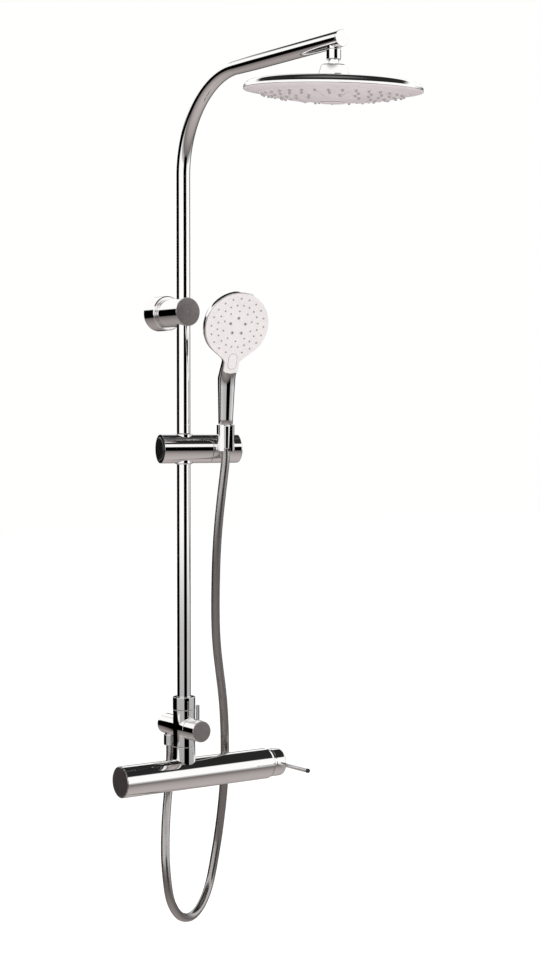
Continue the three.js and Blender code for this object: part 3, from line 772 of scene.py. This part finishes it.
# ---- Mixer and diverter ----
def mixer():
    along = at(MIXER, RIGHT)
    show(turned("mixer_barrel", [
        [0, -116.4], [23.9, -116.4], [23.9, -119.4], [25, -119.4], [25, 160.6], [23.2, 165], [21, 165],
        [21, 142], [18, 142], [18, -104], [0, -104],
    ], along, 0.5, 160), "root", "mixer_body")
    cap = turned("mixer_cap", disc(23.6, -119.9, -116.7), along, 0.5, 128)
    # The end cap's outer face takes the painted reflection.
    painted_reflection_end(show(cap, "root", "mixer_end_cap"), -RIGHT)
    seat = [[r, HANDLE_PIVOT_X - math.sqrt(27.4 ** 2 - r * r)] for r in (22.7, 21, 19, 17, 15)]
    show(turned("cover_ring", [[15, 150.4], [20.7, 150.4], [20.7, 165.3], [23, 165.3], [23, 168.8], *seat],
                along, 0.3, 128), "root", "cartridge_cover")
    back = [[r, HANDLE_PIVOT_X - math.sqrt(27 ** 2 - r * r)] for r in (3.5, 8, 12, 16, 19, 21.4, 22.8)]
    show(turned("handle_cap", [[0, 153], [3.5, 153], *back, [22.8, 189], [0, 189]], along, 3.6, 128),
         "mixer_lever", "mixer_handle")
    lever = at(MIXER + RIGHT * LEVER_X, FRONT)
    show(turned("lever_bar", disc(3.25, 18.8, 92.7), lever, 0.2, 40), "mixer_lever", "lever_rod")
    show(turned("lever_end", [[0, 93], [3.6, 93], [3.6, 95.8], [2.6, 97], [0, 97]], lever, 0.4, 40),
         "mixer_lever", "lever_tip", "black_plastic")


def diverter():
    body = turned("diverter_barrel", disc(17.8, 45.9, 104.6), at(MIXER), 0.4, 128)
    front = turned("front", disc(16.9, 0, 21.5), at(DIVERTER, FRONT), 0.4, 128)
    rear = turned("rear", disc(16.3, 0, 55), at(DIVERTER, BACK), 0.8, 128)
    spout = turned("spout", disc(8.8, 50, 64), at(MIXER + BACK * OUTLET_BACK), 0.3, 64)
    show(join(body, front, rear, spout), "root", "diverter_body")
    lower = turned("lower_collar", ring(18.1, 9, 15, 45.5), at(MIXER), 0.5, 128)
    saddle = turned("saddle", disc(25.3, -30, 30), at(MIXER, RIGHT), 0, 160)
    show(cut(lower, saddle), "root", "diverter_lower_nut")
    show(turned("upper_collar", [
        [11.35, 105], [18.1, 105], [18.1, 125.8], [11.35, 125.8],
    ], at(MIXER), 0.9, 128), "root", "riser_nut")
    knob = turned("turning_knob", disc(17, 22, 51.8), at(DIVERTER, FRONT), 0.6, 128)
    # The knob's front face takes the painted reflection.
    painted_reflection_end(show(knob, "diverter_knob", "diverter_knob"), FRONT)
    show(turned("knob_pin", disc(3, 9.8, 41.2), at(DIVERTER + FRONT * 40), 0.5, 40),
         "diverter_knob", "diverter_lever_pin")


def outlet_nut():
    return show(turned("outlet_nut", [
        [7.5, 42], [10.8, 42], [10.8, 58.8], [9.1, 58.8], [9.1, 48.4], [7.5, 48.4],
    ], at(MIXER + BACK * OUTLET_BACK), 0.6, 96), "root", "hose_outlet_nut")


def cone_nut():
    return show(turned("cone_nut", [
        [7.5, -38], [8.2, -38], [8.6, -37], [10.3, -2], [9.8, -0.4], [3.2, -0.4], [3.2, -22], [7.5, -22],
    ], at_handset, 0.4), "handset", "hose_cone_nut")


hose_outlet_nut = outlet_nut()
hose_cone_nut = cone_nut()
hose()
wall_bracket()
riser()
head_connection()
rain_shower()
slider()
hand_shower()
mixer()
diverter()

# Every CAD node takes the finish of its slot
for part in frame["record"]["subparts"]:
    node = frame["nodes"][part["node"]]
    for place in node.material_slots:
        place.material = LOOKS[part["material_slot"]]


# ---- Floor, light ----
def floor():
    def build(work):
        bmesh.ops.create_grid(work, x_segments=1, y_segments=1, size=20000)
    ground = mesh_object("floor", build, Matrix.Translation((0, 0, -1750)))
    n = Nodes("pale_floor")
    n.shade(Base_Color=n.tint(n.noise(0.6), (0.94, 0.94, 0.935), (0.96, 0.96, 0.955)), Roughness=0.9)
    n.shade(Emission_Color=(1, 1, 0.99, 1), Emission_Strength=0.2)
    ground.data.materials.append(n.material)
    ground.visible_glossy = False


def studio():
    """White to the camera and as soft light; chrome mirrors bright and dark bands, fixed in the world."""
    world = bpy.data.worlds.new("studio")
    bpy.context.scene.world = world
    world.use_nodes = True
    tree = world.node_tree
    tree.nodes.clear()

    def add(kind, inputs=None, **settings):
        node = tree.nodes.new(kind)
        for key, value in settings.items():
            setattr(node, key, value)
        for key, value in (inputs or {}).items():
            if isinstance(value, bpy.types.NodeSocket):
                tree.links.new(value, node.inputs[key])
            else:
                node.inputs[key].default_value = value
        return node

    def calc(operation, first, second):
        return add("ShaderNodeMath", {0: first, 1: second}, operation=operation).outputs[0]

    def ramp_of(value, stops):
        ramp = add("ShaderNodeValToRGB", {"Fac": value})
        points = ramp.color_ramp.elements
        points[1].position = stops[-1][0]
        for position, level in stops[1:-1]:
            points.new(position)
        for point, (position, level) in zip(points, stops):
            warm = level if isinstance(level, tuple) else (level, level, level)
            point.color = (*warm, 1)
        return ramp.outputs["Color"]

    direction = add("ShaderNodeTexCoord").outputs["Generated"]
    parts = add("ShaderNodeSeparateXYZ", {"Vector": direction})
    height = parts.outputs["Z"]
    azimuth = calc("ARCTAN2", parts.outputs["Y"], parts.outputs["X"])
    around = calc("ADD", calc("DIVIDE", azimuth, 2 * math.pi), 0.5)
    degrees = [
        (-180, 1.0), (-123, 1.0), (-119, 0.0), (-71, 0.0), (-67, 1.0), (-4, 1.0), (0, 0.13), (52, 0.13),
        (56, 0.0), (157, 0.0), (162, 1.0), (180, 1.0),
    ]
    cards = ramp_of(around, [((d + 180) / 360, level) for d, level in degrees])
    level = calc("DIVIDE", calc("ADD", height, 1), 2)
    shade = ramp_of(level, [(0.0, 0.3), (0.4, 0.36), (0.445, 0.55), (0.47, 1.0), (1.0, 1.0)])
    graded = add("ShaderNodeMix", {0: 1.0}, data_type="RGBA", blend_type="MULTIPLY")
    tree.links.new(cards, graded.inputs[6])
    tree.links.new(shade, graded.inputs[7])
    rise = ramp_of(level, [
        (0.0, (0.5, 0.46, 0.45)), (0.2, (0.36, 0.33, 0.32)), (0.33, (0.2, 0.18, 0.175)),
        (0.4, (0.1, 0.085, 0.08)), (0.44, (0.03, 0.026, 0.025)), (0.465, (0.06, 0.05, 0.05)),
        (0.485, 1.0), (0.77, 1.0), (0.8, 0.02), (0.95, 0.02), (1.0, 0.2),
    ])
    flatness = add("ShaderNodeMapRange", {"Value": calc("ABSOLUTE", height, 0), "From Min": 0.22,
                                          "From Max": 0.27}).outputs["Result"]
    mixed = add("ShaderNodeMix", {0: flatness}, data_type="RGBA")
    tree.links.new(graded.outputs[2], mixed.inputs[6])
    tree.links.new(rise, mixed.inputs[7])
    mirror = add("ShaderNodeBackground", {"Color": mixed.outputs[2], "Strength": 1.12})
    seen = add("ShaderNodeBackground", {"Color": (1, 1, 0.995, 1), "Strength": 1.0})
    diffuse = add("ShaderNodeBackground", {"Color": (1, 1, 1, 1), "Strength": 0.9})
    path = add("ShaderNodeLightPath")
    soft = add("ShaderNodeMixShader", {0: path.outputs["Is Diffuse Ray"], 1: mirror.outputs[0],
                                       2: diffuse.outputs[0]})
    both = add("ShaderNodeMixShader", {0: path.outputs["Is Camera Ray"], 1: soft.outputs[0],
                                       2: seen.outputs[0]})
    add("ShaderNodeOutputWorld", {"Surface": both.outputs[0]})


def soft_box(name, place, aim, width, height, power):
    data = bpy.data.lights.new(name, "AREA")
    data.shape = "RECTANGLE"
    data.size = width
    data.size_y = height
    data.energy = power
    lamp = bpy.data.objects.new(name, data)
    lamp.location = place
    lamp.rotation_euler = (Vector(aim) - Vector(place)).to_track_quat("-Z", "Y").to_euler()
    lamp.visible_glossy = False
    bpy.context.collection.objects.link(lamp)


floor()
studio()
soft_box("key_light", (-2.2, -2.4, 2.4), (0, -0.1, -0.3), 2.0, 2.0, 40)
soft_box("fill_light", (2.4, -2.0, 0.8), (0, -0.1, -0.3), 2.0, 2.0, 20)

scene_view = bpy.context.scene.view_settings
scene_view.view_transform = "Standard"
scene_view.look = "None"
